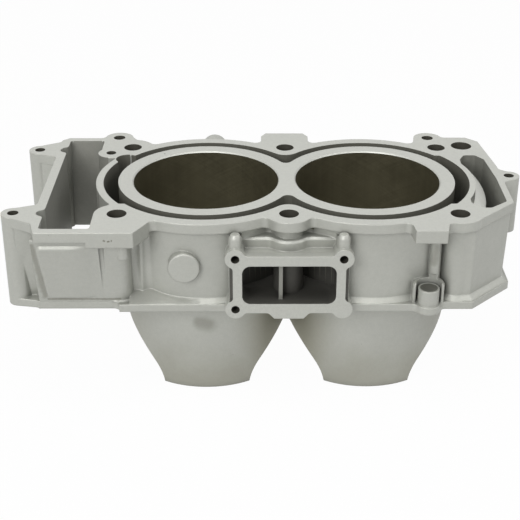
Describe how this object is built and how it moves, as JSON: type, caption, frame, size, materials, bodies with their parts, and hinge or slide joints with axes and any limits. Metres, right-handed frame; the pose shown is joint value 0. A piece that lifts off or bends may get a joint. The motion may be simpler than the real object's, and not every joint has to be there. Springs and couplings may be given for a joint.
{
  "type": "engine cylinder block",
  "caption": "Cast cylinder block of a liquid-cooled parallel twin, with open-deck water jacket, chain tunnel, coolant flange and skirts that reach into the crankcase.",
  "frame": {"origin": "on the crankcase joint face, midway between the two bore axes", "axes": "+Z along the bores towards the cylinder head, +X along the row of bores away from the chain tunnel, -Y towards the side with the coolant flange"},
  "size_m": [0.3255, 0.165, 0.124],
  "materials": {
    "cast_aluminium": "fine matt casting skin, with milled faces and dark honed bores"
  },
  "bodies": {
    "root": {"cylinder_block": "cast_aluminium"}
  },
  "joints": []
}
